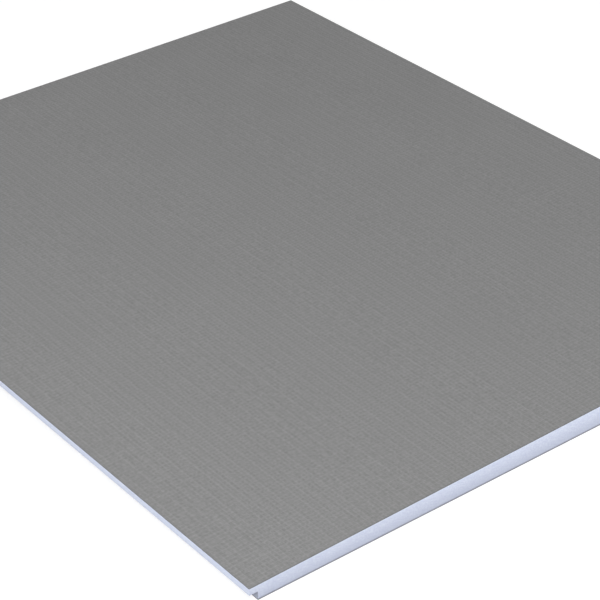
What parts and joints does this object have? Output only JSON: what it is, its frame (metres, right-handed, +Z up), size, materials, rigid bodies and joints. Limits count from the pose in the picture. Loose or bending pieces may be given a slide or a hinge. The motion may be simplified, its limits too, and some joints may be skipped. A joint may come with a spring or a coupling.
{
  "type": "shower sloping board",
  "caption": "Rectangular tapered foam board with grey cement facings and a rebated lip along its thin edge, for a tiled shower floor.",
  "frame": {"origin": "middle of the flat underside, at floor level", "axes": "+X up the slope, from the thin edge to the thick edge; +Y along the drain edge; +Z up"},
  "size_m": [1, 1.2, 0.037],
  "materials": {
    "foam": "extruded polystyrene foam, sawn edge",
    "facing": "grey polymer cement over glass-fibre mesh"
  },
  "bodies": {
    "root": {"foam_core": "foam", "top_facing": "facing", "bottom_facing": "facing"}
  },
  "joints": []
}
